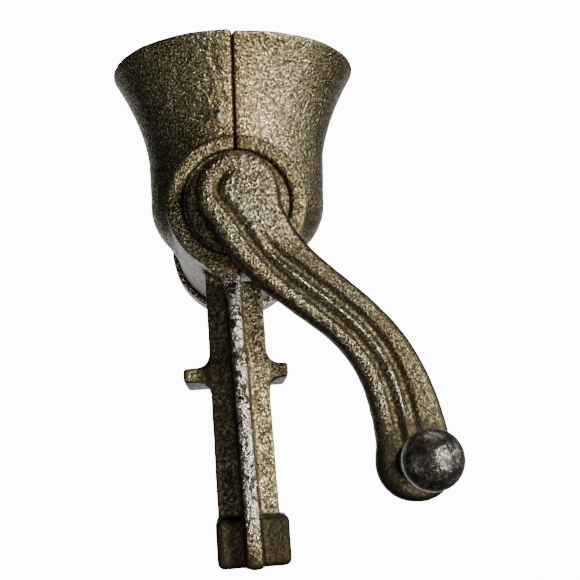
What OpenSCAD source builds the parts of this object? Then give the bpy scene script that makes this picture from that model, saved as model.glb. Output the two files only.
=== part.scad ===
// Table-clamp rotary nutcracker.
// Millimetres. +X to the right, +Y towards the table, +Z up.
// The origin is on the underside of the upper clamp jaw, below the hopper's centre.
// The crank shaft runs along Y. The hopper and barrel are cast in two halves
// that meet on the upright plane through the shaft.

/* [Frame heights] */
// Crank shaft axis above the upper jaw's underside
axis_h = 51.5; // [48:0.5:60]
// Sideways lean of the hopper from the leg, degrees
hopper_lean = 2.1; // [0:0.1:4]
// Width of the seam between the two body halves
seam_w = 0.02; // [0.02:0.02:0.4]

/* [Hopper] */
// Sideways offset of the hopper's centre from the shaft
hopper_x = 0.6; // [-1:0.1:1]
// Outer radius of the rim
rim_r = 41; // [38:0.5:43]
// Height of the rim above the shaft axis
rim_h = 53.6; // [48:0.2:60]
// Outer radius where the flare begins
waist_r = 29; // [27.5:0.1:30]
// Height where the flare begins
waist_h = 22; // [19:0.5:25]
// How sharply the flare opens
flare_power = 1.63; // [1.3:0.01:2.2]
// Height of the widest part of the rounded bottom
bowl_h = 8; // [6:0.5:10]
// Depth of the rounded bottom below its widest part
bowl_drop = 22; // [20:0.5:24]
// Hopper wall thickness
hopper_wall = 3; // [2.5:0.1:3.5]

/* [Barrel] */
// Outer radius of the barrel
barrel_r = 21; // [20.5:0.1:21.5]
// Bore radius of the barrel
bore_r = 17.6; // [17.4:0.05:18]
// Front wall's front face, distance before the hopper's centre
front_y = 38; // [37:0.2:38.4]
// Thickness of the front wall
front_wall = 7; // [6:0.2:8]
// Barrel's back end, distance behind the hopper's centre
back_y = 33.5; // [32:0.5:34]
// Inner radius of the raised ring on the front wall
bead_in_r = 16.2; // [15.6:0.1:18]
// Height of the raised ring
bead_h = 1.2; // [1:0.1:1.4]
// Radius of the bearing boss on the front wall
boss_r = 12; // [11:0.5:14]
// Height of the bearing boss
boss_h = 1.2; // [0.8:0.1:1.2]
// Radius of the cracking ribs in the bore
rib_r = 1.4; // [1:0.1:1.5]

/* [Shaft and rotor] */
// Shaft radius
shaft_r = 6; // [5:0.5:6.5]
// Radial clearance of the running fits
run_gap = 0.06; // [0.03:0.01:0.1]
// Radial clearance of parts fixed together
fixed_gap = 0.02; // [0.01:0.01:0.05]
// Radius of the cracking cone's small end
cone_small_r = 9; // [8.5:0.1:10]
// Radius of the cracking cone's large end
cone_large_r = 15.6; // [14:0.1:15.7]
// Number of flutes in the cracking cone
flute_count = 9; // [6:1:10]

/* [Crank] */
// Hub radius of the crank
hub_r = 11.8; // [11:0.1:13]
// Sideways reach of the handle from the shaft axis
crank_x = 44.2; // [40:0.2:48]
// Drop of the handle below the shaft axis
crank_z = 79.5; // [74:0.5:82]
// Half width of the arm at the middle
arm_half_w = 8.4; // [7.5:0.1:9]
// Radius of the arm's handle end
lobe_r = 11; // [10.5:0.1:12]
// Arm thickness
arm_t = 8.5; // [7:0.1:9]
// Height of the arm's ridges
ridge_h = 1.8; // [1:0.1:2.5]
// Ball handle radius
ball_r = 8.1; // [7:0.1:9]
// Ball centre's distance before the hopper's centre
ball_y = 76.4; // [72:0.2:80]
// Radius of the handle's shank in the crank
shank_r = 3.5; // [3:0.1:4]

/* [Leg and clamp] */
// Sideways offset of the leg's centre
leg_x = -2.55; // [-4:0.05:-1]
// Leg flange width at the top
flange_w_top = 16.8; // [15:0.1:18]
// Leg flange width at the bottom
flange_w_bottom = 19; // [17:0.1:19.6]
// Leg flange thickness
flange_t = 4.5; // [4:0.1:5.5]
// Leg flange's front face, distance before the hopper's centre
flange_y = 27; // [26:0.2:28]
// Leg rib thickness at the top
rib_w_top = 4.6; // [4:0.1:6]
// Leg rib thickness at the bottom
rib_w_bottom = 5.6; // [4.5:0.1:6.5]
// Upper jaw width
jaw_w = 32; // [28:0.2:34]
// Upper jaw thickness
jaw_t = 4.8; // [3.4:0.1:5]
// Upper jaw reach from the flange towards the table
jaw_reach = 27; // [22:0.5:30]
// Open height of the clamp
clamp_gap = 40; // [36:0.5:44]
// Lower jaw block height
block_h = 15; // [12:0.2:16]
// Lower jaw block width
block_w = 22.2; // [20:0.2:23]
// Tapping-size radius of the clamp screw hole
screw_hole_r = 3.4; // [3:0.05:4.2]

/* [Hidden] */
$fn = 96;
eps = 0.01;
full_turn = 360;
bead_front = front_y + bead_h;
boss_front = front_y + boss_h;
washer_t = 1.3;
washer_front = boss_front + 0.25 + washer_t;
hub_back = washer_front + 0.15;
hub_front = 52.5;
arm_back = hub_front - arm_t;
leg_root_z = axis_h - 12;
block_top = -clamp_gap;
block_bottom = -clamp_gap - block_h;
block_x = -1.7;
rib_x_top = -3.1;
rib_x_bottom = -1.6;
screw_y = -8;
jaw_x = leg_x - 1;
// Outlet parts, distances behind the hopper's centre.
ring_front = 29.5;
ring_back = 40.4;
ring_r = 22.7;
ring_gap = 0.1;
spanner_hole_r = 1;
spanner_hole_depth = 2;
ring_lip_r = 17.4;
spider_front = back_y + 0.2;
spider_t = 4;
spider_back = spider_front + spider_t;
ring_lip_front = spider_back + 0.1;
spider_r = barrel_r - 0.3;
window_in_r = 9.9;
window_out_r = 17.1;
window_count = 3;
window_half_angle = 44;
spider_pin_r = 1.2;
spider_pin_z = -(spider_r + window_out_r) / 2;
// Rotor and shaft stations along Y.
cone_front = -26;
cone_back = 32;
shoulder_y = spider_back + 0.3;
end_washer_t = 1.4;
nut_t = 6.4;
nut_r = 7.5;
tail_r = 4;
shaft_front = -50.2;
rotor_pin_y = -19;
rotor_pin_r = 1.5;
crank_pin_y = -46.5;
crank_pin_r = 1.6;
// Ears at the back of the hopper.
ear_y = 37.5;
ear_z = 35;
ear_r = 6;
ear_root_y = 24;
ear_t = 5;
ear_hole_r = 2.6;
bolt_r = 2.5;
bolt_tail = 9;
bolt_head_r = 4.3;
bolt_head_t = 3.5;
head_x = ear_t + seam_w / 2 + 0.1;
wing_hub_r = 4.6;
wing_hub_t = 5;
wing_r = 4;
wing_t = 2;
// Dowels in the front wall.
dowel_r = 1.5;
dowel_half = 6;
dowel_z = 13.4;
dowel_y = -front_y + front_wall / 2;
// Bends of the crank arm's centre line, sideways and upwards from the shaft axis.
bend_1 = [9.7, -37];
bend_2 = [42.7, -28.6];
big = 200;

IRON = [0.42, 0.39, 0.34];
STEEL = [0.55, 0.54, 0.52];

// ---- helpers -------------------------------------------------------------

// Children drawn in the shaft's own frame: origin on the shaft axis, leaned with the hopper.
module at_axis() {
    translate([0, 0, axis_h])
        rotate([0, hopper_lean, 0])
            children();
}

// Children drawn on the shaft axis without the lean.
module on_shaft() {
    translate([0, 0, axis_h])
        children();
}

// A round bar along Y from y0 to y1.
module ybar(r, y0, y1) {
    translate([0, y0, 0])
        rotate([-90, 0, 0])
            cylinder(r = r, h = y1 - y0);
}

// A round bar along X from x0 to x1.
module xbar(r, x0, x1) {
    translate([x0, 0, 0])
        rotate([0, 90, 0])
            cylinder(r = r, h = x1 - x0);
}

// A flat shape drawn as seen from the front and given thickness from y0 to y1.
module front_plate(y0, y1) {
    translate([0, y1, 0])
        rotate([90, 0, 0])
            linear_extrude(height = y1 - y0)
                children();
}

// Outer radius of the flare at height z.
function flare_r(z) =
    waist_r + (rim_r - waist_r) * pow((z - waist_h) / (rim_h - waist_h), flare_power);

// Outline of the hopper's side, drawn in by inset.
function hopper_side(inset) = concat(
    [for (i = [0:12])
        let (a = 90 * i / 12)
        [(waist_r - 0.4 - inset) * sin(a), bowl_h - (bowl_drop - inset) * cos(a)]],
    [for (i = [0:14])
        let (z = waist_h + (rim_h - waist_h) * i / 14)
        [flare_r(z) - inset, z]]);

// Solid of revolution under the hopper's side outline.
module hopper_solid(inset, top) {
    translate([hopper_x, 0, 0])
        rotate_extrude()
            polygon(concat(hopper_side(inset), [[rim_r - inset, top], [0, top]]));
}

// ---- body ----------------------------------------------------------------

module shell_outside() {
    hopper_solid(0, rim_h + 0.8);
    ybar(barrel_r, -front_y, back_y);
    // Raised ring around the front wall.
    ybar(barrel_r, -bead_front + 0.8, -front_y + eps);
    ybar(barrel_r - 0.8, -bead_front, -front_y + eps);
    // Ears for the closing bolt.
    translate([-ear_t - seam_w / 2, 0, 0])
        ear_block(2 * ear_t + seam_w);
}

module ear_block(w) {
    translate([0, ear_y, ear_z])
        xbar(ear_r, 0, w);
    translate([0, ear_root_y, ear_z - ear_r])
        cube([w, ear_y - ear_root_y, 2 * ear_r]);
}

module shell_inside() {
    hopper_solid(hopper_wall, rim_h + 2);
    ybar(bore_r, -front_y + front_wall, back_y + 1);
    ybar(shaft_r + run_gap, -big / 2, 0);
    // The recess between the raised ring and the bearing boss.
    difference() {
        ybar(bead_in_r, -bead_front - 1, -front_y);
        ybar(boss_r, -boss_front, -front_y + 1);
    }
    translate([-big / 2, ear_y, ear_z])
        xbar(ear_hole_r, 0, big);
    for (s = [-1, 1])
        translate([0, dowel_y, s * dowel_z])
            xbar(dowel_r + fixed_gap, -dowel_half - 0.1, dowel_half + 0.1);
}

// Cracking ribs along the lower part of the bore.
module cracking_ribs() {
    for (a = [20, 50, 80, 100, 130, 160])
        rotate([0, a, 0])
            translate([bore_r, 0, 0])
                ybar(rib_r, -front_y + front_wall - 1, back_y);
}

module shell() {
    difference() {
        shell_outside();
        shell_inside();
    }
    difference() {
        intersection() {
            cracking_ribs();
            ybar(barrel_r - 1, -front_y + 1, back_y);
            translate([-big / 2, -big / 2, -big])
                cube([big, big, big - bowl_h]);
        }
        translate([0, dowel_y, -dowel_z])
            xbar(dowel_r + fixed_gap, -dowel_half - 0.1, dowel_half + 0.1);
    }
}

// The half space on one side of the seam.
module seam_side(s) {
    translate([s > 0 ? seam_w / 2 : -big - seam_w / 2, -big / 2, -big / 2])
        cube([big, big, big]);
}

// Leg: a flange with a rib in front, as seen from above a T.
module leg() {
    // Flange.
    front_plate(-flange_y, -flange_y + flange_t)
        polygon([[leg_x - flange_w_top / 2, leg_root_z],
                 [leg_x + flange_w_top / 2, leg_root_z],
                 [leg_x + flange_w_bottom / 2, block_top - 2],
                 [leg_x - flange_w_bottom / 2, block_top - 2]]);
    // Rib.
    front_plate(-front_y, -flange_y + 1)
        polygon([[rib_x_top - rib_w_top / 2, leg_root_z],
                 [rib_x_top + rib_w_top / 2, leg_root_z],
                 [rib_x_bottom + rib_w_bottom / 2, block_bottom + 2.4],
                 [rib_x_bottom + rib_w_bottom / 2 - 2, block_bottom],
                 [rib_x_bottom - rib_w_bottom / 2 + 2, block_bottom],
                 [rib_x_bottom - rib_w_bottom / 2, block_bottom + 2.4]]);
    // Fillet where the rib meets the front wall.
    front_plate(-front_y - 0.8, -front_y + 5)
        polygon([[rib_x_top - rib_w_top / 2 - 5, leg_root_z - 6.6],
                 [rib_x_top + rib_w_top / 2, leg_root_z - 6.6],
                 [rib_x_top - rib_w_top / 2 + 1, leg_root_z - 13.5],
                 [rib_x_top - rib_w_top / 2 - 1.6, leg_root_z - 9.6]]);
}

// Upper jaw plate. Its flat underside starts behind the flange, and its two ends
// reach forward past the flange's sides, with fillets at their roots.
module upper_jaw() {
    half_w = jaw_w / 2;
    root_w = flange_w_top / 2;
    front_plate(-flange_y + 1.6, -flange_y + flange_t + 0.2)
        polygon([[jaw_x - half_w, 0.9],
                 [jaw_x - half_w, jaw_t - 0.6],
                 [jaw_x - half_w + 1.4, jaw_t],
                 [leg_x - root_w - 2.4, jaw_t + 0.6],
                 [leg_x - root_w + 0.4, jaw_t + 2.8],
                 [leg_x + root_w - 0.4, jaw_t + 2.8],
                 [leg_x + root_w + 2.4, jaw_t + 0.6],
                 [jaw_x + half_w - 1.4, jaw_t],
                 [jaw_x + half_w, jaw_t - 0.6],
                 [jaw_x + half_w, 0.9],
                 [jaw_x + half_w - 0.6, 0.4],
                 [jaw_x - half_w + 0.6, 0.4]]);
    translate([jaw_x - half_w, -flange_y + flange_t + 0.1, 0])
        cube([jaw_w, jaw_reach, jaw_t]);
}

// Lower jaw block with a round boss for the clamp screw.
module lower_jaw() {
    corner_r = 2.6;
    translate([block_x, 0, block_bottom])
        linear_extrude(height = block_h) {
            translate([-block_w / 2, -flange_y - 3 + corner_r])
                square([block_w, flange_y + 3 + screw_y - corner_r]);
            translate([-block_w / 2 + corner_r, -flange_y - 3])
                square([block_w - 2 * corner_r, corner_r + 1]);
            for (s = [-1, 1])
                translate([s * (block_w / 2 - corner_r), -flange_y - 3 + corner_r])
                    circle(r = corner_r);
            translate([0, screw_y])
                circle(r = block_w / 2);
        }
}

module clamp_casting() {
    difference() {
        union() {
            leg();
            upper_jaw();
            lower_jaw();
        }
        translate([block_x, screw_y, block_bottom - 1])
            cylinder(r = screw_hole_r, h = block_h + 2);
        // Room for the barrel's inside.
        at_axis()
            ybar(barrel_r - 1, -front_y, back_y);
        // Room for the right half of the barrel.
        at_axis()
            intersection() {
                ybar(barrel_r + 0.8, -front_y - 3, back_y);
                translate([-seam_w / 2, -big / 2, -big / 2])
                    cube([big, big, big]);
            }
    }
}

module body_left() color(IRON) {
    at_axis()
        intersection() {
            shell();
            seam_side(-1);
        }
    clamp_casting();
}

module body_right() color(IRON)
    at_axis()
        intersection() {
            shell();
            seam_side(1);
        }

// ---- body fasteners ------------------------------------------------------

module seam_dowels() color(STEEL)
    at_axis()
        for (s = [-1, 1])
            translate([0, dowel_y, s * dowel_z])
                xbar(dowel_r, -dowel_half, dowel_half);

module ear_bolt() color(STEEL)
    at_axis()
        translate([0, ear_y, ear_z]) {
            xbar(bolt_r, -ear_t - bolt_tail, head_x + 1);
            xbar(bolt_head_r, head_x, head_x + bolt_head_t);
        }

module ear_wing_nut() color(STEEL)
    at_axis()
        translate([-ear_t - seam_w / 2 - 0.1, ear_y, ear_z])
            rotate([70, 0, 0])
                difference() {
                    union() {
                        xbar(wing_hub_r, -wing_hub_t, 0);
                        for (s = [-1, 1])
                            translate([-wing_hub_t - 0.4, s * (wing_hub_r + 1.8), -wing_t / 2])
                                cylinder(r = wing_r, h = wing_t);
                    }
                    xbar(bolt_r + fixed_gap, -big, 1);
                }

// ---- outlet --------------------------------------------------------------

module outlet_ring() color(IRON)
    at_axis()
        difference() {
            ybar(ring_r, ring_front, ring_back);
            ybar(barrel_r + ring_gap, ring_front - 1, ring_lip_front);
            ybar(ring_lip_r, ring_front, ring_back + 1);
            // Two holes for a pin spanner.
            for (s = [-1, 1])
                translate([s * (ring_r + ring_lip_r) / 2, 0, 0])
                    ybar(spanner_hole_r, ring_back - spanner_hole_depth, ring_back + 1);
        }

module outlet_spider() color(IRON)
    at_axis()
        difference() {
            ybar(spider_r, spider_front, spider_back);
            ybar(shaft_r + run_gap, spider_front - 1, spider_back + 1);
            for (i = [0:window_count - 1])
                rotate([0, -90 + full_turn * i / window_count, 0])
                    window();
            translate([0, 0, spider_pin_z])
                ybar(spider_pin_r + fixed_gap, spider_front - 1, spider_back + 1);
        }

// One opening in the spider, between the hub and the rim.
module window() {
    reach = spider_r + 4;
    intersection() {
        difference() {
            ybar(window_out_r, spider_front - 1, spider_back + 1);
            ybar(window_in_r, spider_front - 2, spider_back + 2);
        }
        front_plate(spider_front - 1, spider_back + 1)
            polygon([[0, 0],
                     [reach * cos(window_half_angle), reach * sin(window_half_angle)],
                     [reach * 1.4, 0],
                     [reach * cos(window_half_angle), -reach * sin(window_half_angle)]]);
    }
}

module spider_pin() color(STEEL)
    at_axis()
        translate([0, 0, spider_pin_z])
            ybar(spider_pin_r, spider_front - 0.1, spider_back - 0.2);

// ---- shaft and rotor -----------------------------------------------------

module rotor_shaft() color(STEEL)
    on_shaft()
        difference() {
            union() {
                ybar(shaft_r, shaft_front, shoulder_y);
                ybar(tail_r, 0, shoulder_y + end_washer_t + nut_t + 2.5);
            }
            translate([0, rotor_pin_y, -big / 2])
                cylinder(r = rotor_pin_r + fixed_gap, h = big);
            translate([0, crank_pin_y, -shaft_r + 1])
                cylinder(r = crank_pin_r + fixed_gap, h = big);
        }

// Fluted cone that draws the nuts against the cracking ribs.
module cracking_rotor() color(IRON)
    on_shaft() {
        slope = atan2(cone_large_r - cone_small_r, cone_back - 3 - cone_front);
        difference() {
            translate([0, cone_front, 0])
                rotate([-90, 0, 0]) {
                    cylinder(r1 = cone_small_r, r2 = cone_large_r, h = cone_back - 3 - cone_front);
                    translate([0, 0, cone_back - 3 - cone_front])
                        cylinder(r = cone_large_r, h = 3);
                }
            ybar(shaft_r + fixed_gap, cone_front - 1, cone_back + 1);
            for (i = [0:flute_count - 1])
                rotate([0, full_turn * (i + 0.5) / flute_count, 0])
                    translate([cone_small_r + 1.2, cone_front - 1, 0])
                        rotate([0, 0, -slope])
                            ybar(2.6, -2, big / 2);
            translate([0, rotor_pin_y, -big / 2])
                cylinder(r = rotor_pin_r + fixed_gap, h = big);
        }
    }

module rotor_pin() color(STEEL)
    on_shaft()
        translate([0, rotor_pin_y, -cone_small_r + 0.6])
            cylinder(r = rotor_pin_r, h = 2 * cone_small_r - 1.2);

module end_washer() color(STEEL)
    on_shaft()
        difference() {
            ybar(8.6, shoulder_y + eps, shoulder_y + end_washer_t);
            ybar(tail_r + fixed_gap, shoulder_y - 1, shoulder_y + end_washer_t + 1);
        }

module end_nut() color(STEEL)
    on_shaft() {
        y0 = shoulder_y + end_washer_t + eps;
        difference() {
            translate([0, y0, 0])
                rotate([-90, 0, 0])
                    cylinder(r = nut_r, h = nut_t, $fn = 6);
            ybar(tail_r + fixed_gap, y0 - 1, y0 + nut_t + 1);
        }
    }

// ---- crank ---------------------------------------------------------------

module thrust_washer() color(STEEL)
    on_shaft()
        difference() {
            ybar(10.4, -washer_front, -washer_front + washer_t);
            ybar(shaft_r + fixed_gap, -washer_front - 1, -boss_front);
        }

// Centre line of the arm, from the hub at t = 0 to the handle at t = 1.
function arm_point(t) =
    let (u = 1 - t)
    3 * u * u * t * bend_1 + 3 * u * t * t * bend_2 + t * t * t * [crank_x, -crank_z];

function arm_slope(t) =
    let (u = 1 - t)
    3 * u * u * bend_1 + 6 * u * t * (bend_2 - bend_1)
    + 3 * t * t * ([crank_x, -crank_z] - bend_2);

function arm_side(t) =
    let (d = arm_slope(t))
    [-d[1], d[0]] / norm(d);

// Half width of the arm: wide at both ends and narrow at the middle.
function arm_width(t) =
    let (mid = 2 * arm_half_w - (hub_r + lobe_r) / 2)
    (hub_r - 0.4) * (1 - t) * (1 - t) + 2 * mid * t * (1 - t) + (lobe_r - 0.3) * t * t;

// Band along the arm, centred at share k of its half width, w wide at the hub and end.
module arm_band(k, w0, w1, t0, t1) {
    steps = 22;
    polygon(concat(
        [for (i = [0:steps])
            let (t = t0 + (t1 - t0) * i / steps, w = w0 + (w1 - w0) * t)
            arm_point(t) + arm_side(t) * (k * arm_width(t) + w)],
        [for (i = [steps:-1:0])
            let (t = t0 + (t1 - t0) * i / steps, w = w0 + (w1 - w0) * t)
            arm_point(t) + arm_side(t) * (k * arm_width(t) - w)]));
}

module arm_outline() {
    steps = 26;
    polygon(concat(
        [for (i = [0:steps]) arm_point(i / steps) + arm_side(i / steps) * arm_width(i / steps)],
        [for (i = [steps:-1:0]) arm_point(i / steps) - arm_side(i / steps) * arm_width(i / steps)]));
}

module crank_arm() color(IRON)
    on_shaft()
        difference() {
            union() {
                ybar(hub_r - 0.9, -hub_front, -hub_back);
                ybar(hub_r, -hub_front + 0.9, -hub_back);
                // Broad pad on the hub.
                ybar(hub_r - 4.2, -hub_front - ridge_h, -hub_front + 1);
                front_plate(-hub_front, -arm_back)
                    arm_outline();
                translate([crank_x, 0, -crank_z])
                    ybar(lobe_r, -hub_front, -arm_back);
                // Middle ridge and two edge ridges.
                front_plate(-hub_front - ridge_h, -hub_front + 1)
                    arm_band(0, 5, 1.6, 0.1, 0.8);
                for (s = [-1, 1])
                    front_plate(-hub_front - ridge_h * 0.5, -hub_front + 1)
                        arm_band(s * 0.82, 1.2, 1.2, 0.12, 0.92);
            }
            ybar(shaft_r + fixed_gap, shaft_front - 0.1, 0);
            translate([0, crank_pin_y, -shaft_r + 1])
                cylinder(r = crank_pin_r + fixed_gap, h = big);
            translate([crank_x, 0, -crank_z])
                ybar(shank_r + run_gap, -big, 0);
        }

module crank_pin() color(STEEL)
    on_shaft()
        translate([0, crank_pin_y, -shaft_r + 1.1])
            cylinder(r = crank_pin_r, h = hub_r + shaft_r - 1.6);

// Ball handle: shank with a riveted back end, collar, neck and ball in one piece.
module ball_handle() color(STEEL)
    on_shaft()
        translate([crank_x, 0, -crank_z]) {
            translate([0, -ball_y, 0])
                sphere(r = ball_r);
            ybar(4, -ball_y, -hub_front - 0.3);
            ybar(5.6, -hub_front - 2.1, -hub_front - 0.3);
            ybar(shank_r, -hub_front - 1, -arm_back + 3);
            ybar(5, -arm_back + 1.8, -arm_back + 3.2);
        }

module handle_washer() color(STEEL)
    on_shaft()
        translate([crank_x, 0, -crank_z])
            difference() {
                ybar(6.6, -arm_back + eps, -arm_back + 1.5);
                ybar(shank_r + run_gap, -arm_back - 1, -arm_back + 3);
            }

body_left();
body_right();
seam_dowels();
ear_bolt();
ear_wing_nut();
outlet_ring();
outlet_spider();
spider_pin();
rotor_shaft();
cracking_rotor();
rotor_pin();
end_washer();
end_nut();
thrust_washer();
crank_arm();
crank_pin();
ball_handle();
handle_washer();
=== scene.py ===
"""Looks for the table-clamp nutcracker.

The castings are modelled here as distance fields in millimetres, in the frame's axes, and meshed
on a fine grid, which gives them the rounded edges and fillets of real castings. The ball handle
is lathed, and the other pieces are the frame's own nodes with bevelled edges.
"""

import math

import bpy
import numpy as np
from mathutils import Euler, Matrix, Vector


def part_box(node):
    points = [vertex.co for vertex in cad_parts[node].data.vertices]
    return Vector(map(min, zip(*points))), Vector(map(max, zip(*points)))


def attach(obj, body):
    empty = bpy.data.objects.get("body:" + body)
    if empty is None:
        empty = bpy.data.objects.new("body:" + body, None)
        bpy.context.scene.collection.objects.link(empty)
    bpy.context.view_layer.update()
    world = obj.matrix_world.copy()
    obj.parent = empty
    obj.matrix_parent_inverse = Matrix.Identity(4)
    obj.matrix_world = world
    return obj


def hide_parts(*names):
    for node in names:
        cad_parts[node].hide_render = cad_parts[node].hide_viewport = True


MM = 0.001

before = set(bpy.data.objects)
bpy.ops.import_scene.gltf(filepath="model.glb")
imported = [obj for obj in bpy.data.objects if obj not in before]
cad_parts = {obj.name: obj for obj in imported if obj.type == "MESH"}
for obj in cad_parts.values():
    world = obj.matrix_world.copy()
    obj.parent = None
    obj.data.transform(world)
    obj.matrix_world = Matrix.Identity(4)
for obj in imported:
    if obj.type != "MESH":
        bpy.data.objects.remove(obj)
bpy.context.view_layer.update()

# ---- sizes from the frame, in millimetres --------------------------------


def box_mm(node):
    """A CAD node's lowest and highest corners in millimetres."""
    low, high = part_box(node)
    return np.array(low) / MM, np.array(high) / MM


shaft_low, shaft_high = box_mm("rotor_shaft")
ball_low, ball_high = box_mm("ball_handle")

AXIS_H = (shaft_low[2] + shaft_high[2]) / 2
BALL_R = (ball_high[0] - ball_low[0]) / 2
BALL_Y = ball_low[1] + BALL_R
CRANK_X = (ball_low[0] + ball_high[0]) / 2
CRANK_Z = AXIS_H - (ball_low[2] + ball_high[2]) / 2

# ---- driving sizes, in millimetres ---------------------------------------

LEAN = math.radians(2.1)
SEAM_LAP = 0.15
SEAM_ROUND = 1.6

HOPPER_X = 0.6
RIM_R, RIM_H = 40.9, 53.85
RIM_TILT = math.radians(0.9)
WAIST_R, WAIST_H = 29.0, 22.0
FLARE_POWER = 1.63
BOWL_R, BOWL_H, BOWL_DROP = 28.6, 8.0, 22.0
WALL = 3.0

BARREL_R, BORE_R = 20.9, 17.7
FRONT_Y, FRONT_WALL, BACK_Y = -38.0, 7.0, 33.4
BORE_RIB_R, BORE_RIB_ANGLES = 1.4, (20, 50, 80, 100, 130, 160)
EAR_Y, EAR_Z, EAR_R, EAR_HOLE_R = 37.5, 35.0, 5.9, 2.6
EAR_ROOT_Y, EAR_T = 24.0, 5.0
BEAD_IN_R, FACE_R = 16.0, 15.2
BEAD_FRONT = -39.15
# Streaks beside the seam: distance from it, phase of their waves, width.
STREAKS = ((-2.6, 0.0, 0.5), (-4.4, 1.9, 0.7), (-6.6, 4.1, 0.6), (-8.3, 0.7, 0.5))
DROP_X, DROP_Z = -4.9, 29.5

LEG_X = -2.55
FLANGE_Y, FLANGE_T = -27.0, 4.5
FLANGE_W_TOP, FLANGE_W_BOTTOM = 16.8, 18.8
RIB_X_TOP, RIB_X_BOTTOM = -3.1, -1.5
RIB_W_TOP, RIB_W_BOTTOM = 4.6, 5.6
RIB_FRONT, RIB_LEAN = -37.9, 0.017
ROOT_TOP, ROOT_BOTTOM, ROOT_FLARE = AXIS_H - 15, AXIS_H - 27, 4.6
JAW_X, JAW_W, JAW_T = -3.55, 31.9, 4.8
JAW_FRONT, JAW_BACK = -25.3, 4.4
BLOCK_X, BLOCK_W = -1.7, 22.0
BLOCK_TOP, BLOCK_BOTTOM, BLOCK_FRONT = -40.0, -54.95, -29.9
SCREW_Y, SCREW_R = -8.0, 3.4

HUB_R, HUB_BACK = 11.7, -40.95
ARM_FRONT, ARM_BACK = -54.15, -44.0
ARM_WIDTHS = (11.6, 5.5, 10.8)
LOBE_R = 10.95
BEND_1, BEND_2 = (9.7, -37.0), (42.7, -28.6)
RAIL_DROP, FLUTE_DEPTH, FLUTE_W = 0.35, 1.35, 2.5
PAD_R = 5.7
SHANK_HOLE_R, SHAFT_HOLE_R = 3.56, 6.02
RIVET_BACK, SHANK_BACK, SHANK_R = -40.85, -42.2, 3.5
COLLAR_BACK, COLLAR_R, NECK_R = -52.8, 5.6, 3.95
ROUGHNESS = 0.28

# ---- distance fields -----------------------------------------------------


def smooth_min(a, b, k):
    """Union of two fields with a fillet of about k."""
    h = np.clip(0.5 + 0.5 * (b - a) / k, 0, 1)
    return b + (a - b) * h - k * h * (1 - h)


def smooth_max(a, b, k):
    """Intersection of two fields with edges rounded by about k."""
    return -smooth_min(-a, -b, k)


def smooth_step(low, high, v):
    """Smooth rise from 0 where v is low to 1 where v is high."""
    t = np.clip((v - low) / (high - low), 0, 1)
    return t * t * (3 - 2 * t)


def slab(v, low, high):
    """Field of the space between two parallel planes."""
    return np.maximum(low - v, v - high)


def rounded_box(dx, dy, dz, r):
    """Box from three slab fields, with its edges rounded by r."""
    ax, ay, az = dx + r, dy + r, dz + r
    outside = np.sqrt(np.maximum(ax, 0) ** 2 + np.maximum(ay, 0) ** 2 + np.maximum(az, 0) ** 2)
    inside = np.minimum(np.maximum(ax, np.maximum(ay, az)), 0)
    return outside + inside - r


def hopper_field(x, y, z, inset, top):
    """The bell hopper's solid, drawn in by inset."""
    x = x - HOPPER_X
    z = z - x * math.tan(RIM_TILT) * smooth_step(0, RIM_H, z)
    rho = np.sqrt(x * x + y * y)
    share = np.clip((z - WAIST_H) / (RIM_H - WAIST_H), 0, 1.1)
    neck = BOWL_R + (WAIST_R - BOWL_R) * smooth_step(BOWL_H, WAIST_H, z)
    radius = neck + (RIM_R - WAIST_R) * share**FLARE_POWER - inset
    slope = (RIM_R - WAIST_R) * FLARE_POWER * share ** (FLARE_POWER - 1) / (RIM_H - WAIST_H)
    upper = (rho - radius) / np.sqrt(1 + slope * slope)
    a, b = BOWL_R - inset, BOWL_DROP - inset
    low = np.minimum(z - BOWL_H, 0)
    k0 = np.sqrt((rho / a) ** 2 + (low / b) ** 2) + 1e-9
    k1 = np.sqrt((rho / a**2) ** 2 + (low / b**2) ** 2) + 1e-9
    lower = k0 * (k0 - 1) / k1
    return smooth_max(np.where(z > BOWL_H, upper, lower), z - top, 1.8)


def leaned(x, z):
    """Coordinates in the barrel's frame, which leans with the hopper, and distance from its axis."""
    z = z - AXIS_H
    xs = x * math.cos(LEAN) - z * math.sin(LEAN)
    zs = x * math.sin(LEAN) + z * math.cos(LEAN)
    return xs, zs, np.sqrt(xs * xs + zs * zs)


def cast_scar(x, y, z):
    """Raised streaks and a drop of metal beside the seam, left by the casting."""
    streak = np.zeros(np.broadcast(x, y, z).shape, np.float32)
    for offset, phase, width in STREAKS:
        centre = offset + 0.6 * np.sin(z * 0.42 + phase) + 0.3 * np.sin(z * 1.3 + phase * 2)
        fade = smooth_step(20, 32, z) * smooth_step(52, 47, z) * (0.5 + 0.5 * np.sin(z * 0.9 + phase * 3))
        streak = np.maximum(streak, fade * np.exp(-(((x - centre) / width) ** 2)))
    drop = np.exp(-(((x - DROP_X) / 1.2) ** 2) - ((z - DROP_Z) / 2.4) ** 2)
    return np.where(y < 0, 0.55 * streak + 1.1 * drop, 0).astype(np.float32)


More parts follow.
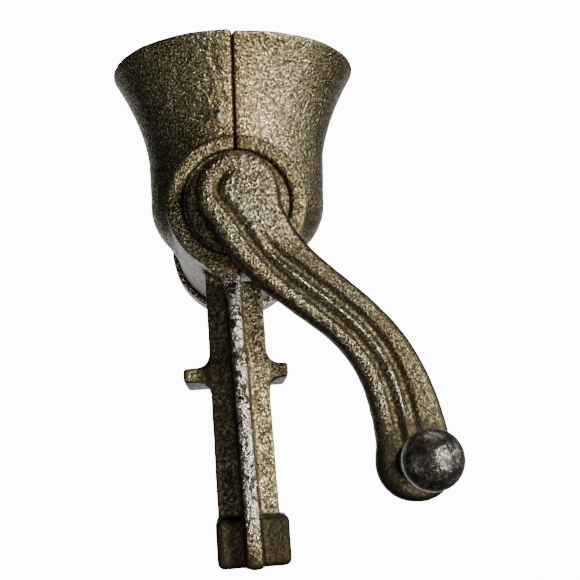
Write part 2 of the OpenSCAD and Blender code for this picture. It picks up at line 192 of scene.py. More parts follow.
def half_shell(x, y, z, side):
    """One half of the hopper and barrel, side -1 or 1 of the seam. In the barrel's frame."""
    around = np.sqrt(x * x + z * z)
    barrel = smooth_max(around - BARREL_R, slab(y, FRONT_Y + 0.6, BACK_Y), 1.2)
    band = np.abs(around - (BARREL_R + BEAD_IN_R) / 2) - (BARREL_R - BEAD_IN_R) / 2
    band = smooth_max(band, slab(y, BEAD_FRONT, FRONT_Y + 4), 1.0)
    face = smooth_max(around - FACE_R, slab(y, FRONT_Y - 0.15, FRONT_Y + 4), 0.8)
    barrel = smooth_min(smooth_min(barrel, band, 0.5), face, 0.5)
    ear_off = np.sqrt((y - EAR_Y) ** 2 + (z - EAR_Z) ** 2)
    ear_web = np.maximum(slab(y, EAR_ROOT_Y, EAR_Y), slab(z, EAR_Z - EAR_R, EAR_Z + EAR_R))
    ear = smooth_max(np.minimum(ear_off - EAR_R, ear_web), np.abs(x) - EAR_T, 1.0)
    rim = RIM_H + 0.25 * np.sign(-x)
    outside = smooth_min(hopper_field(x, y, z, 0, rim), barrel, 2.4)
    outside = smooth_min(outside, ear, 2.0) - cast_scar(x, y, z)
    cut = -SEAM_LAP - side * x
    outside = smooth_max(outside, cut, SEAM_ROUND)
    bore = np.maximum(around - BORE_R, FRONT_Y + FRONT_WALL - y)
    inside = np.minimum(hopper_field(x, y, z, WALL, RIM_H + 9), bore)
    inside = np.minimum(inside, np.maximum(around - SHAFT_HOLE_R - 0.05, y))
    inside = np.minimum(inside, ear_off - EAR_HOLE_R)
    ribs = np.full(np.broadcast(x, y, z).shape, 9.0, np.float32)
    for angle in BORE_RIB_ANGLES:
        a = math.radians(angle)
        rib_off = np.sqrt((x - BORE_R * math.cos(a)) ** 2 + (z + BORE_R * math.sin(a)) ** 2)
        ribs = np.minimum(ribs, rib_off - BORE_RIB_R)
    ribs = np.maximum(np.maximum(ribs, slab(y, FRONT_Y + 2, BACK_Y)), z + BOWL_H)
    ribs = np.maximum(np.maximum(ribs, around - BARREL_R + 1), cut)
    return np.minimum(np.maximum(smooth_max(outside, -inside, 1.3), cut), ribs)


def clamp_field(x, y, z):
    """Leg, upper jaw plate and lower jaw block, one casting with the left half."""
    share = np.clip((AXIS_H - z) / (AXIS_H - BLOCK_BOTTOM), 0, 1)
    flange_w = FLANGE_W_TOP + (FLANGE_W_BOTTOM - FLANGE_W_TOP) * share
    rib_x = RIB_X_TOP + (RIB_X_BOTTOM - RIB_X_TOP) * share
    rib_w = RIB_W_TOP + (RIB_W_BOTTOM - RIB_W_TOP) * share
    flange = rounded_box(
        np.abs(x - LEG_X) - flange_w / 2,
        slab(y, FLANGE_Y, FLANGE_Y + FLANGE_T),
        slab(z, BLOCK_TOP - 2, AXIS_H - 12),
        0.9,
    )
    rib = rounded_box(
        np.abs(x - rib_x) - rib_w / 2,
        slab(y, RIB_FRONT, FLANGE_Y + 1),
        slab(z, BLOCK_BOTTOM, AXIS_H - 13),
        2.0,
    )
    flare = ROOT_FLARE * smooth_step(ROOT_BOTTOM + 2.5, ROOT_TOP - 3, z)
    root = rounded_box(
        np.abs(x - RIB_X_TOP + flare / 2) - (RIB_W_TOP + flare) / 2,
        slab(y, RIB_FRONT - 0.7, FRONT_Y + 5),
        slab(z, ROOT_BOTTOM, ROOT_TOP),
        1.0,
    )
    jaw = rounded_box(
        np.abs(x - JAW_X) - JAW_W / 2,
        slab(y, JAW_FRONT, JAW_BACK),
        slab(z, 0, JAW_T),
        1.2,
    )
    corner = BLOCK_W / 2
    boss = np.sqrt((x - BLOCK_X) ** 2 + (y - SCREW_Y) ** 2) - corner
    bar = rounded_box(
        np.abs(x - BLOCK_X) - corner,
        slab(y, BLOCK_FRONT, SCREW_Y),
        slab(z, BLOCK_BOTTOM + 0.1, BLOCK_TOP),
        2.2,
    )
    block = np.minimum(smooth_max(boss, slab(z, BLOCK_BOTTOM + 0.1, BLOCK_TOP), 1.6), bar)
    hole = np.sqrt((x - BLOCK_X) ** 2 + (y - SCREW_Y) ** 2) - SCREW_R
    block = smooth_max(block, -hole, 0.8)
    leg = smooth_min(smooth_min(flange, rib, 1.5), root, 1.6)
    return smooth_min(smooth_min(leg, jaw, 4.6), block, 1.2)


def left_field(x, y, z):
    """Left half of the body with the leg and the clamp jaws."""
    xs, zs, around = leaned(x, z)
    shell = half_shell(xs, y, zs, -1)
    clamp = np.maximum(clamp_field(x, y, z), BARREL_R - 1.2 - around)
    joined = smooth_min(shell, clamp, 2.2)
    right_side = np.maximum(around - BARREL_R - 0.9, -xs)
    return smooth_max(joined, -np.maximum(right_side, slab(y, FRONT_Y - 5, BACK_Y + 5)), 0.5)


def right_field(x, y, z):
    """Right half of the body."""
    xs, zs, _ = leaned(x, z)
    return half_shell(xs, y, zs, 1)


def bend_point(t):
    """Centre line of the crank arm, from the hub at 0 to the handle at 1."""
    u = 1 - t
    ends = np.array([CRANK_X, -CRANK_Z])
    return (
        np.outer(3 * u * u * t, BEND_1) + np.outer(3 * u * t * t, BEND_2) + np.outer(t**3, ends)
    )


def along_arm(x, z):
    """For each point: how far along the arm's centre line it is, and how far to the side."""
    t = np.linspace(0, 1, 241)
    line = bend_point(t)
    heading = np.gradient(line, axis=0)
    heading /= np.linalg.norm(heading, axis=1)[:, None]
    flat = np.stack([x.ravel(), z.ravel()], 1)
    nearest = np.empty(len(flat), int)
    for start in range(0, len(flat), 8000):
        gap = flat[start : start + 8000, None, :] - line[None]
        nearest[start : start + 8000] = np.argmin((gap**2).sum(2), axis=1)
    off = flat - line[nearest]
    side = off[:, 0] * -heading[nearest, 1] + off[:, 1] * heading[nearest, 0]
    reach = np.linalg.norm(off, axis=1)
    shape = x.shape
    return t[nearest].reshape(shape), side.reshape(shape), reach.reshape(shape)


def bump(v):
    """A round hump, 1 at 0 and 0 beyond 1."""
    return np.where(np.abs(v) < 1, np.cos(np.clip(v, -1, 1) * math.pi / 2) ** 2, 0)


def crank_relief(t, side, hub_off):
    """How far the crank's face lies below its highest level: two flutes beside a middle ridge."""
    left = -2.9 - 2.9 * np.clip(1 - t / 0.12, 0, 1) ** 2 - 0.9 * smooth_step(0.7, 0.95, t)
    right = 0.4 + 1.3 * smooth_step(0.15, 0.35, t) - 1.0 * smooth_step(0.7, 0.95, t)
    # The left flute turns round the pad on the hub and fades out above it.
    from_left = np.where(t > 0, side - left, PAD_R - hub_off)
    left_fade = 1 - smooth_step(0.9, 1.0, t)
    left_fade *= np.where(t > 0, 1, 1 - smooth_step(-6, 4, side))
    right_fade = smooth_step(0.1, 0.24, t) * (1 - smooth_step(0.88, 0.98, t))
    flutes = left_fade * bump(from_left / FLUTE_W)
    flutes = np.maximum(flutes, right_fade * bump((side - right) / FLUTE_W))
    rails = left_fade * smooth_step(0, -FLUTE_W, from_left)
    rails = np.maximum(rails, right_fade * smooth_step(0, FLUTE_W, side - right))
    return np.maximum(FLUTE_DEPTH * flutes, RAIL_DROP * rails)


def crank_field(x, y, z):
    """Curved crank: hub, arm with a middle ridge between two flutes, and handle lobe."""
    px, pz = np.broadcast_arrays(x[:, 0, :], z[:, 0, :] - AXIS_H)
    t, side, reach = along_arm(px.astype(float), pz.astype(float))
    half = ARM_WIDTHS[0] * (1 - t) ** 2 + 2 * ARM_WIDTHS[1] * t * (1 - t) + ARM_WIDTHS[2] * t * t
    hub_off = np.sqrt(px**2 + pz**2)
    lobe_off = np.sqrt((px - CRANK_X) ** 2 + (pz + CRANK_Z) ** 2)
    outline = smooth_min(reach - half, hub_off - HUB_R, 1.5)
    outline = smooth_min(outline, lobe_off - LOBE_R, 1.5)
    dish = 1.3 * smooth_step(0.88, 1.0, t)
    front = (ARM_FRONT + crank_relief(t, side, hub_off) + dish)[:, None, :]
    outline = outline[:, None, :]
    hub_off = hub_off[:, None, :]
    lobe_off = lobe_off[:, None, :]
    plate = smooth_max(outline, np.maximum((front - y) * 0.85, y - ARM_BACK), 3.4)
    hub = smooth_max(hub_off - HUB_R, np.maximum(front - y + 1, y - HUB_BACK), 1.6)
    solid = smooth_min(plate, hub, 0.8)
    solid = np.maximum(solid, -np.maximum(hub_off - SHAFT_HOLE_R, -50.3 - y))
    return np.maximum(solid, SHANK_HOLE_R - lobe_off)


# ---- meshing -------------------------------------------------------------


def surface_net(field, low, step):
    """Closed quad mesh of the field's zero surface: one vertex in each cell that it crosses."""
    inside = field < 0
    corners = [(i, j, k) for i in (0, 1) for j in (0, 1) for k in (0, 1)]
    nx, ny, nz = (n - 1 for n in field.shape)

    def corner(a, c):
        return a[c[0] : c[0] + nx, c[1] : c[1] + ny, c[2] : c[2] + nz]

    count = sum(corner(inside, c).astype(np.int8) for c in corners)
    cells = np.argwhere((count > 0) & (count < 8))
    index = np.full((nx, ny, nz), -1, np.int32)
    index[tuple(cells.T)] = np.arange(len(cells))
    values = np.stack([field[tuple((cells + c).T)] for c in corners], 1)
    total, crossings = np.zeros((len(cells), 3)), np.zeros(len(cells))
    for a, ca in enumerate(corners):
        for b, cb in enumerate(corners):
            if a < b and sum(abs(p - q) for p, q in zip(ca, cb)) == 1:
                va, vb = values[:, a], values[:, b]
                crossed = (va < 0) != (vb < 0)
                share = np.where(crossed, va / np.where(crossed, va - vb, 1), 0)
                point = np.array(ca) + share[:, None] * (np.array(cb) - np.array(ca))
                total += point * crossed[:, None]
                crossings += crossed
    points = (cells + total / crossings[:, None]) * step + low
    quads = []
    for axis in range(3):
        u, v = (axis + 1) % 3, (axis + 2) % 3
        ahead = np.roll(inside, -1, axis)
        changed = inside != ahead
        edge = [slice(1, n) for n in (nx, ny, nz)]
        edge[axis] = slice(0, (nx, ny, nz)[axis])
        starts = np.argwhere(changed[tuple(edge)])
        starts += np.array([0 if i == axis else 1 for i in range(3)])
        leaves = inside[tuple(starts.T)]
        ring = []
        for du, dv in ((0, 0), (1, 0), (1, 1), (0, 1)):
            cell = starts.copy()
            cell[:, u] -= 1 - du
            cell[:, v] -= 1 - dv
            ring.append(index[tuple(cell.T)])
        ring = np.stack(ring, 1)
        quads.append(np.where(leaves[:, None], ring, ring[:, ::-1]))
    return points, np.concatenate(quads)


def grid_of(low, high, step):
    """Open grid of coordinates over a box, with room for the surface at its sides."""
    low = np.array(low, float) - 2 * step
    high = np.array(high, float) + 2 * step
    axes = [np.arange(low[i], high[i] + step, step, dtype=np.float32) for i in range(3)]
    return low, (axes[0][:, None, None], axes[1][None, :, None], axes[2][None, None, :])


class Grain:
    """Smooth random field on a lattice, used to make cast surfaces uneven."""

    def __init__(self, seed, size=32):
        self.size = size
        self.lattice = np.random.default_rng(seed).random((size, size, size))

    def __call__(self, points, wavelength):
        place = points / wavelength
        cell = np.floor(place).astype(int)
        f = place - cell
        f = f * f * (3 - 2 * f)
        total = np.zeros(len(points))
        for i in (0, 1):
            for j in (0, 1):
                for k in (0, 1):
                    wx = f[:, 0] if i else 1 - f[:, 0]
                    wy = f[:, 1] if j else 1 - f[:, 1]
                    wz = f[:, 2] if k else 1 - f[:, 2]
                    at = tuple(((cell + (i, j, k)) % self.size).T)
                    total += wx * wy * wz * self.lattice[at]
        return total


def mesh_object(name, points, faces, body, node, material, wear_and_shade=None):
    """A smooth-shaded piece in metres that stands for a CAD node and rides on a body."""
    mesh = bpy.data.meshes.new(name)
    mesh.vertices.add(len(points))
    mesh.vertices.foreach_set("co", (np.asarray(points) * MM).astype(np.float32).ravel())
    sizes = np.array([len(f) for f in faces], np.int32)
    corners = np.concatenate([np.asarray(f) for f in faces]).astype(np.int32)
    mesh.loops.add(len(corners))
    mesh.loops.foreach_set("vertex_index", corners)
    mesh.polygons.add(len(sizes))
    starts = np.concatenate([[0], np.cumsum(sizes)[:-1]]).astype(np.int32)
    mesh.polygons.foreach_set("loop_start", starts)
    mesh.update(calc_edges=True)
    if wear_and_shade is not None:
        mesh.attributes.new("wear_and_shade", "FLOAT", "POINT").data.foreach_set("value", wear_and_shade)
    mesh.validate()
    mesh.shade_smooth()
    mesh.materials.append(material)
    obj = bpy.data.objects.new(name, mesh)
    bpy.context.scene.collection.objects.link(obj)
    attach(obj, body)
    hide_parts(node)
    return obj


def cast_piece(name, node, body, field_function, step, material, seed, wear_and_shade_of, calm=None):
    """Meshes a distance field inside a CAD node's box and makes its surface uneven, inwards only."""
    low, high = box_mm(node)
    start, grid = grid_of(low, high, step)
    points, quads = surface_net(field_function(*grid), start, step)
    wear_and_shade = wear_and_shade_of(points).astype(np.float32)
    normals = vertex_normals(points, quads)
    grain = Grain(seed)
    depth = (
        0.35 * grain(points, 1.5)
        + 0.25 * grain(points + 7.7, 3.1)
        + 0.7 * grain(points + 3.1, 9.0)
    )
    depth *= ROUGHNESS * (1 - 0.6 * np.maximum(wear_and_shade, 0)) * (1 if calm is None else calm(points))
    points = points - normals * depth[:, None]
    points = np.clip(points, low + 0.01, high - 0.01)
    return mesh_object(name, points, quads, body, node, material, wear_and_shade)


def body_wear_and_shade(points):
    """How the body is worn and shaded: 1 where it is rubbed bright, -1 where it is painted darker, mostly
    painted shade.
    """
    x, y, z = points.T
    low = smooth_step(AXIS_H - 19, AXIS_H - 24, z)
    front = smooth_step(RIB_FRONT + 1.1, RIB_FRONT + 0.3, y) * smooth_step(BLOCK_BOTTOM, -38, z)
    # Painted shadow of the rib on the flange's face left of it.
    left = smooth_step(RIB_X_TOP, RIB_X_TOP - 2, x - RIB_LEAN * (AXIS_H - z)) * (y < FLANGE_Y + 0.6)
    # Painted shade over the lower jaw block.
    block = smooth_step(BLOCK_TOP + 1, BLOCK_TOP - 1, z)
    # The jaw's lugs are painted darker.
    lugs = 0.45 * smooth_step(8.5, 10, np.abs(x - LEG_X)) * (np.abs(z) < 9)
    shade_and_grime = np.maximum(np.maximum(0.85 * left, block), lugs)
    xs, zs, around = leaned(x, z)
    # The front disc is painted darker.
    disc = smooth_step(BARREL_R + 0.6, BARREL_R, around) * (y < FRONT_Y + 0.6)
    # Painted shade in the disc's recess round the hub.
    face = smooth_step(BEAD_IN_R + 0.9, BEAD_IN_R, around) * disc
    scar = np.maximum(cast_scar(xs, y, zs) - 0.3, 0)
    under = smooth_step(1.2, 0.4, np.abs(around - BARREL_R)) * smooth_step(-4, -9, zs)
    under = 0.3 * under * (y > FRONT_Y + 1.5)
    return low * (front - shade_and_grime * (1 - front)) - 0.42 * disc - 0.25 * face + scar + under


def calm_places(points):
    """How rough the body is: 0 at the seam, low on the front disc and under the barrel, else 1."""
    x, y, z = points.T
    xs, zs, around = leaned(x, z)
    disc = (around < BARREL_R + 0.8) & (y < FRONT_Y + 1)
    under = (np.abs(around - BARREL_R) < 1) & (zs < -4)
    return smooth_step(0.05, 0.7, np.abs(xs)) * np.where(disc | under, 0.35, 1)


def crank_wear_and_shade(points):
    """How the crank is worn and shaded: bright on the ridge; painted darker in the flutes (painted shade and
    grime), on the right rail, and at the handle's end (painted shadow of the ball).
    """
    x, y, z = points.T
    t, side, _ = along_arm(x, z - AXIS_H)
    crest = smooth_step(ARM_FRONT + 0.35, ARM_FRONT + 0.1, y) * (0.1 + 0.8 * smooth_step(0.15, 0.45, t))
    # The right rail is painted darker.
    right_rail = 0.7 * smooth_step(1.0, 2.6, side) * smooth_step(0.12, 0.3, t)
    # Painted shade and grime in the flutes.
    depth = 0.8 * smooth_step(ARM_FRONT + 0.45, ARM_FRONT + 1.3, y)
    # Painted shadow of the ball over the handle's end.
    end = np.sqrt((x - CRANK_X) ** 2 + (z - AXIS_H + CRANK_Z) ** 2)
    shade_and_grime = np.maximum(np.maximum(depth, right_rail), smooth_step(17, 10, end))
    return crest * (1 - shade_and_grime) - shade_and_grime


def vertex_normals(points, quads):
    """Area-weighted normals of a quad mesh."""
    a, b = points[quads[:, 2]] - points[quads[:, 0]], points[quads[:, 3]] - points[quads[:, 1]]
    face = np.cross(a, b)
    normals = np.zeros_like(points)
    for k in range(4):
        np.add.at(normals, quads[:, k], face)
    return normals / (np.linalg.norm(normals, axis=1)[:, None] + 1e-12)


def lathe(name, node, body, profile, material, segments=96):
    """Turns a profile of (distance along Y, radius) points about the handle's axis."""
    points, faces = [], []
    for y, r in profile:
        for s in range(segments):
            a = 2 * math.pi * s / segments
            points.append((CRANK_X + r * math.cos(a), y, AXIS_H - CRANK_Z + r * math.sin(a)))
    for i in range(len(profile) - 1):
        for s in range(segments):
            n = (s + 1) % segments
            faces.append((i * segments + s, (i + 1) * segments + s, (i + 1) * segments + n, i * segments + n))
    faces.append(tuple(range(segments)))
    faces.append(tuple(reversed(range((len(profile) - 1) * segments, len(profile) * segments))))
    return mesh_object(name, np.array(points), [f[::-1] for f in faces], body, node, material)


# ---- materials -----------------------------------------------------------


class Nodes:
    """Short way to build a material's node tree."""

    def __init__(self, name):
        self.material = bpy.data.materials.new(name)
        self.material.use_nodes = True
        self.tree = self.material.node_tree
        self.tree.nodes.clear()
        self.shader = self.add("ShaderNodeBsdfPrincipled")
        out = self.add("ShaderNodeOutputMaterial")
        self.link(self.shader.outputs[0], out.inputs[0])
        self.place = self.add("ShaderNodeTexCoord").outputs["Object"]
        self.shape = self.add("ShaderNodeNewGeometry")

    def add(self, kind, **settings):
        node = self.tree.nodes.new(kind)
        for key, value in settings.items():
            setattr(node, key, value)
        return node

    def link(self, source, target):
        if isinstance(source, (int, float)):
            target.default_value = source
        else:
            self.tree.links.new(source, target)

    def noise(self, scale, detail=4.0, rough=0.55, distortion=0.0):
        node = self.add("ShaderNodeTexNoise")
        self.link(self.place, node.inputs["Vector"])
        node.inputs["Scale"].default_value = scale
        node.inputs["Detail"].default_value = detail
        node.inputs["Roughness"].default_value = rough
        node.inputs["Distortion"].default_value = distortion
        return node.outputs["Fac"]

    def ramp(self, value, stops):
        """Colour ramp over value; stops are (position, colour) or (position, number)."""
        node = self.add("ShaderNodeValToRGB")
        self.link(value, node.inputs[0])
        elements = node.color_ramp.elements
        while len(elements) < len(stops):
            elements.new(0.5)
        for element, (at, colour) in zip(elements, stops):
            element.position = at
            if isinstance(colour, (int, float)):
                colour = (colour, colour, colour)
            element.color = (*colour, 1)
        return node.outputs["Color"]

    def math(self, operation, a, b=0.0, c=0.0):
        node = self.add("ShaderNodeMath", operation=operation)
        for value, socket in zip((a, b, c), node.inputs):
            self.link(value, socket)
        return node.outputs[0]

    def mix(self, share, a, b, blend="MIX"):
        node = self.add("ShaderNodeMix", data_type="RGBA", blend_type=blend)
        self.link(share, node.inputs["Factor"])
        for value, socket in ((a, node.inputs["A"]), (b, node.inputs["B"])):
            if isinstance(value, tuple):
                socket.default_value = (*value, 1)
            else:
                self.link(value, socket)
        return node.outputs["Result"]

    def bump(self, height, distance, strength=1.0, after=None):
        node = self.add("ShaderNodeBump")
        self.link(height, node.inputs["Height"])
        node.inputs["Distance"].default_value = distance
        node.inputs["Strength"].default_value = strength
        if after is not None:
            self.link(after, node.inputs["Normal"])
        return node.outputs["Normal"]

    def leaned_place(self):
        """Position turned into the barrel's frame, as separate X, Y and Z."""
        turn = self.add("ShaderNodeVectorRotate", rotation_type="Y_AXIS", invert=True)
        self.link(self.place, turn.inputs["Vector"])
        turn.inputs["Center"].default_value = (0, 0, AXIS_H * MM)
        turn.inputs["Angle"].default_value = LEAN
        split = self.add("ShaderNodeSeparateXYZ")
        self.link(turn.outputs[0], split.inputs[0])
        return split.outputs


def cast_iron(name, pit, warm, bright, seam_rust=False):
    """Old bare casting: a glinting grainy skin, brown and dull in the pits, rubbed on crests."""
    m = Nodes(name)
    wear_and_shade = m.add("ShaderNodeAttribute", attribute_name="wear_and_shade").outputs["Fac"]
    rubbed = m.math("MAXIMUM", wear_and_shade, 0.0)
    # The attribute's negative part darkens the colour: mostly painted shade, with grime in the crank's
    # flutes.
    shade_and_grime = m.math("MAXIMUM", m.math("MULTIPLY", wear_and_shade, -1.0), 0.0)
    cloud = m.noise(38, 4, 0.6)
    medium = m.noise(260, 3, 0.55, 0.3)
    worms = m.noise(1400, 1, 0.5, 0.4)
    fine = m.noise(2300, 2, 0.6, 0.3)
    height = m.math("ADD", m.math("MULTIPLY", worms, 0.8), m.math("MULTIPLY", fine, 0.2))
    crest = m.ramp(height, [(0.4, 0.0), (0.6, 1.0)])
    base = m.mix(m.ramp(cloud, [(0.38, 0.0), (0.62, 1.0)]), warm, bright)
    base = m.mix(m.ramp(medium, [(0.38, 0.5), (0.6, 0.0)]), base, warm)
    base = m.mix(m.math("MULTIPLY", rubbed, 0.8), base, (0.62, 0.60, 0.53))
    # Convex edges are painted lighter: partly edge wear, partly a painted highlight.
    edge = m.ramp(m.shape.outputs["Pointiness"], [(0.52, 0.0), (0.59, 0.7)])
    base = m.mix(edge, base, (0.60, 0.55, 0.42))
    unrubbed = m.math("SUBTRACT", 1.0, m.math("MULTIPLY", rubbed, 0.7))
    pits = m.math("MULTIPLY", m.math("SUBTRACT", 1.0, crest), unrubbed)
    base = m.mix(m.math("MULTIPLY", pits, 0.88), base, pit)
    patches = m.ramp(m.noise(110, 3, 0.6), [(0.4, 0.25), (0.6, 1.0)])
    glint = m.math("MULTIPLY", m.ramp(height, [(0.56, 0.0), (0.66, 0.9)]), patches)
    base = m.mix(glint, base, (0.95, 0.86, 0.60))
    spots = m.ramp(m.noise(420, 3, 0.6, 0.8), [(0.42, 1.0), (0.5, 0.0)])
    base = m.mix(m.math("MULTIPLY", spots, rubbed), base, pit)
    hollow = m.ramp(m.shape.outputs["Pointiness"], [(0.42, 0.8), (0.495, 0.0)])
    hollow = m.math("MULTIPLY", hollow, unrubbed)
    # Pit colour in the hollows, and painted shade where the attribute is negative.
    base = m.mix(m.math("MAXIMUM", hollow, m.math("MULTIPLY", shade_and_grime, 0.95)), base, pit)
    if seam_rust:
        x, y, z = m.leaned_place()
        off = m.math("MULTIPLY", m.math("ABSOLUTE", x), 1 / MM)
        upper = m.math("GREATER_THAN", z, (AXIS_H - 22) * MM)
        tint = m.ramp(m.math("MULTIPLY", off, 0.1), [(0.1, 1.0), (1.0, 0.0)])
        tint = m.math("MULTIPLY", m.math("MULTIPLY", tint, upper), m.ramp(cloud, [(0.4, 0.0), (0.6, 0.35)]))
        base = m.mix(tint, base, (0.42, 0.25, 0.09))
        line = m.math("MULTIPLY", m.ramp(off, [(0.3, 1.0), (0.9, 0.0)]), upper)
        base = m.mix(line, base, (0.05, 0.014, 0.008))
    m.link(base, m.shader.inputs["Base Color"])
    rough = m.ramp(medium, [(0.35, 0.28), (0.65, 0.16)])
    rough = m.math("ADD", rough, m.math("MULTIPLY", pits, 0.2))
    m.link(m.math("ADD", rough, m.math("MULTIPLY", shade_and_grime, 0.25)), m.shader.inputs["Roughness"])
    m.shader.inputs["Metallic"].default_value = 1.0
    lumps = m.bump(medium, 0.0007, 0.6)
    kept = m.math("SUBTRACT", 1.0, m.math("MULTIPLY", shade_and_grime, 0.6))
    m.link(m.bump(m.math("MULTIPLY", height, kept), 0.0006, 1.0, lumps), m.shader.inputs["Normal"])
    return m.material


def dull_steel(name, dark, light, shine=0.3, metal=1.0):
    """Smooth steel, handled until it is mottled dark and light."""
    m = Nodes(name)
    clouds = m.noise(430, 5, 0.75, 0.5)
    flecks = m.noise(900, 3, 0.6)
    base = m.mix(m.ramp(clouds, [(0.44, 0.0), (0.58, 1.0)]), dark, light)
    base = m.mix(m.ramp(flecks, [(0.46, 0.85), (0.56, 0.0)]), base, dark)
    m.link(base, m.shader.inputs["Base Color"])
    m.link(m.ramp(clouds, [(0.3, shine + 0.22), (0.7, shine)]), m.shader.inputs["Roughness"])
    m.shader.inputs["Metallic"].default_value = metal
    soft = m.bump(clouds, 0.0003, 0.6)
    m.link(m.bump(flecks, 0.0002, 0.7, soft), m.shader.inputs["Normal"])
    return m.material


body_iron = cast_iron("body_iron", (0.05, 0.039, 0.022), (0.38, 0.30, 0.13), (0.54, 0.475, 0.29), True)
crank_iron = cast_iron("crank_iron", (0.05, 0.04, 0.023), (0.28, 0.225, 0.105), (0.37, 0.33, 0.21))
dark_iron = cast_iron("dark_iron", (0.02, 0.016, 0.012), (0.06, 0.05, 0.036), (0.1, 0.088, 0.066))
ball_steel = dull_steel("ball_steel", (0.05, 0.046, 0.036), (0.31, 0.295, 0.25), 0.16, 0.8)
fastener_steel = dull_steel("fastener_steel", (0.09, 0.075, 0.06), (0.4, 0.37, 0.32), 0.34)

# ---- pieces --------------------------------------------------------------

BODY_STEP = 0.55
CRANK_STEP = 0.4

left = cast_piece(
    "left_casting", "body_left", "body", left_field, BODY_STEP, body_iron, 11, body_wear_and_shade, calm_places
)
right = cast_piece(
    "right_casting", "body_right", "body", right_field, BODY_STEP, body_iron, 12, body_wear_and_shade, calm_places
)
crank = cast_piece(
    "crank_casting", "crank_arm", "crank", crank_field, CRANK_STEP, crank_iron, 13, crank_wear_and_shade
)


def handle_profile():
    """The handle's outline: riveted end, shank, collar, waisted neck and ball."""
    profile = [(RIVET_BACK, 0.4), (RIVET_BACK, 3.2), (RIVET_BACK - 0.35, 4.4)]
    profile += [(SHANK_BACK + 0.3, 4.95), (SHANK_BACK + 0.05, 4.9), (SHANK_BACK, SHANK_R)]
    profile += [(COLLAR_BACK, SHANK_R), (COLLAR_BACK, COLLAR_R - 0.4)]
    profile += [(COLLAR_BACK - 0.4, COLLAR_R), (COLLAR_BACK - 1.3, COLLAR_R)]
    profile += [(COLLAR_BACK - 1.8, COLLAR_R - 0.5), (COLLAR_BACK - 2.3, 4.3), (COLLAR_BACK - 4, NECK_R)]
    for a in np.linspace(math.radians(28), math.pi - 0.02, 40):
        profile.append((BALL_Y + BALL_R * math.cos(a), BALL_R * math.sin(a) - 0.01))
    return profile


handle = lathe("handle_ball", "ball_handle", "handle", handle_profile(), ball_steel)


def dress(node, material):
    """Gives one of the frame's own nodes its material and slightly worn edges."""
    node.data.materials.clear()
    node.data.materials.append(material)
    bevel = node.modifiers.new("edges", "BEVEL")
    bevel.width = 0.35 * MM
    bevel.segments = 2
    bevel.limit_method = "ANGLE"
    bevel.angle_limit = math.radians(35)
    bevel.use_clamp_overlap = True


remade = {"body_left", "body_right", "crank_arm", "ball_handle"}
dark_nodes = {"outlet_ring", "outlet_spider", "cracking_rotor"}
for name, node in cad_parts.items():
    if name not in remade:
        dress(node, dark_iron if name in dark_nodes else fastener_steel)

# ---- floor, light and camera ---------------------------------------------

TARGET = (0, 0, 0.03)
WARM_WHITE = (1.0, 0.98, 0.94)


def floor():
    """Pale round floor, a table's height below the jaw that rests on the table."""
    sides, drop, radius = 96, 0.75, 2.6
    turns = [2 * math.pi * i / sides for i in range(sides)]
    points = [(radius * math.cos(a), radius * math.sin(a), -drop) for a in turns]
    mesh = bpy.data.meshes.new("floor")
    mesh.from_pydata(points, [], [tuple(range(sides))])
    m = Nodes("floor_paint")
    m.link(m.ramp(m.noise(9, 2), [(0.3, 0.8), (0.7, 0.84)]), m.shader.inputs["Base Color"])
    m.shader.inputs["Roughness"].default_value = 0.9
    m.shader.inputs["Specular IOR Level"].default_value = 0.1
    m.shader.inputs["Emission Color"].default_value = (1, 0.99, 0.97, 1)
    m.shader.inputs["Emission Strength"].default_value = 2.2
    mesh.materials.append(m.material)
    obj = bpy.data.objects.new("floor", mesh)
    bpy.context.scene.collection.objects.link(obj)
    # The floor glows for the camera only, so that it stays pale and doesn't light the mill.
    obj.visible_diffuse = False
    obj.visible_glossy = False


def softbox(name, place, size, power, colour=(1, 1, 1)):
    """Soft rectangular lamp that points at the mill."""
    light = bpy.data.lights.new(name, "AREA")
    light.shape = "RECTANGLE"
    light.size, light.size_y = size
    light.energy = power
    light.color = colour
    obj = bpy.data.objects.new(name, light)
    obj.location = place
    obj.rotation_euler = (Vector(TARGET) - Vector(place)).to_track_quat("-Z", "Y").to_euler()
    bpy.context.scene.collection.objects.link(obj)


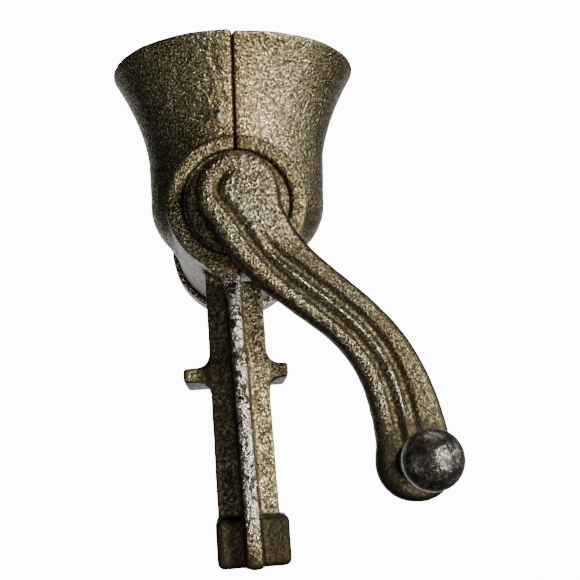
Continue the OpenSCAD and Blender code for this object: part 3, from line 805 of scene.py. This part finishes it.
def studio():
    """White to the camera; to reflections, a dim grey room with a pale backdrop behind the mill."""
    world = bpy.data.worlds.new("studio")
    world.use_nodes = True
    tree = world.node_tree
    room = tree.nodes["Background"]
    room.inputs["Color"].default_value = (0.93, 0.96, 1, 1)
    way = tree.nodes.new("ShaderNodeTexCoord")
    split = tree.nodes.new("ShaderNodeSeparateXYZ")
    backdrop = tree.nodes.new("ShaderNodeMapRange")
    for socket, value in (("From Min", 0.8), ("From Max", 0.97), ("To Min", 0.03), ("To Max", 1.1)):
        backdrop.inputs[socket].default_value = value
    tree.links.new(way.outputs["Generated"], split.inputs[0])
    tree.links.new(split.outputs["Y"], backdrop.inputs["Value"])
    tree.links.new(backdrop.outputs["Result"], room.inputs["Strength"])
    white = tree.nodes.new("ShaderNodeBackground")
    white.inputs["Strength"].default_value = 16
    seen = tree.nodes.new("ShaderNodeLightPath")
    choice = tree.nodes.new("ShaderNodeMixShader")
    tree.links.new(seen.outputs["Is Camera Ray"], choice.inputs[0])
    tree.links.new(room.outputs[0], choice.inputs[1])
    tree.links.new(white.outputs[0], choice.inputs[2])
    tree.links.new(choice.outputs[0], tree.nodes["World Output"].inputs[0])
    bpy.context.scene.world = world


def camera():
    """Camera at the photograph's viewing angle, a little below the mill and looking up."""
    data = bpy.data.cameras.new("camera")
    data.sensor_width, data.lens = 36, 68.27586
    data.clip_start = 0.01
    obj = bpy.data.objects.new("camera", data)
    obj.location = (-0.00563, -0.35499, -0.0290)
    obj.rotation_euler = Euler([math.radians(a) for a in (99.54, 4.298, -2.776)])
    bpy.context.scene.collection.objects.link(obj)
    bpy.context.scene.camera = obj


floor()
studio()
softbox("key", (0.41, -0.63, 0.17), (0.15, 0.17), 5.9, WARM_WHITE)
softbox("low", (0.34, -0.48, -0.2), (0.2, 0.2), 1.5, WARM_WHITE)
softbox("front", (0.0, -0.75, -0.02), (0.1, 0.1), 0.6)
softbox("right", (0.75, -0.1, 0.1), (0.2, 0.5), 1.4)
softbox("left", (-0.5, -0.25, -0.25), (0.3, 0.4), 0.4)
softbox("top", (0.1, 0.15, 0.9), (0.7, 0.5), 1.5)

camera()
